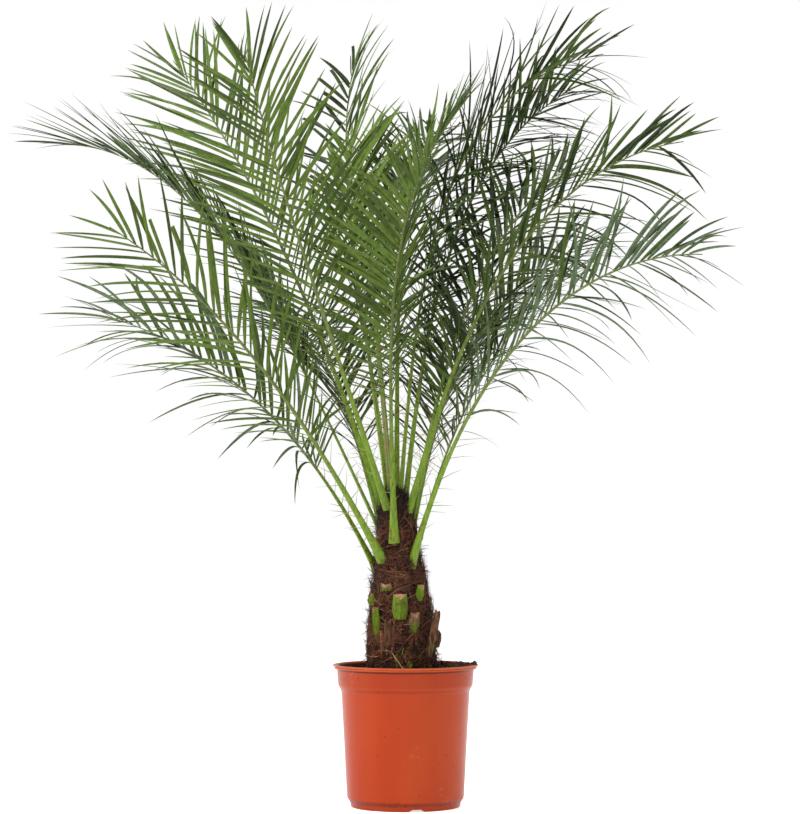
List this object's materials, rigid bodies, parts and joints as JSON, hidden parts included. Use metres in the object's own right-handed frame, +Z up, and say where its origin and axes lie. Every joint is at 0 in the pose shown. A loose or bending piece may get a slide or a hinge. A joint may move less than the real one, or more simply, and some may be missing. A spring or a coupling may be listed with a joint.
{
  "type": "potted palm",
  "caption": "Young feather palm with arching fronds and a short fibrous trunk, standing in a tapered round nursery pot filled with soil.",
  "frame": {"origin": "centre of the pot's flat underside, where it stands", "axes": "+Z up along the pot's axis, -Y towards the viewer of the picture, +X to the right in it"},
  "size_m": [1.1807, 1.1528, 1.3689],
  "materials": {
    "pot_plastic": "satin moulded plastic",
    "potting_soil": "dark crumbly soil",
    "trunk_fibre": "matted brown fibre",
    "leaf_base": "cut green stalk with a tan face",
    "frond": "smooth green leaflets",
    "spear": "folded leaf with brown scurf"
  },
  "bodies": {
    "root": {"pot": "pot_plastic", "soil": "potting_soil", "trunk": "trunk_fibre", "spear_leaf": "spear", "leaf_base_01": "leaf_base", "leaf_base_02": "leaf_base", "leaf_base_03": "leaf_base", "leaf_base_04": "leaf_base", "leaf_base_05": "leaf_base", "leaf_base_06": "leaf_base", "leaf_base_07": "leaf_base", "leaf_base_08": "leaf_base", "leaf_base_09": "leaf_base", "leaf_base_10": "leaf_base", "leaf_base_11": "leaf_base", "leaf_base_12": "leaf_base", "leaf_base_13": "leaf_base", "leaf_base_14": "leaf_base", "leaf_base_15": "leaf_base", "frond_01": "frond", "frond_02": "frond", "frond_03": "frond", "frond_04": "frond", "frond_05": "frond", "frond_06": "frond", "frond_07": "frond", "frond_08": "frond", "frond_09": "frond", "frond_10": "frond", "frond_11": "frond", "frond_12": "frond", "frond_13": "frond", "frond_14": "frond", "frond_15": "frond", "frond_16": "frond", "frond_17": "frond", "frond_18": "frond"}
  },
  "joints": []
}
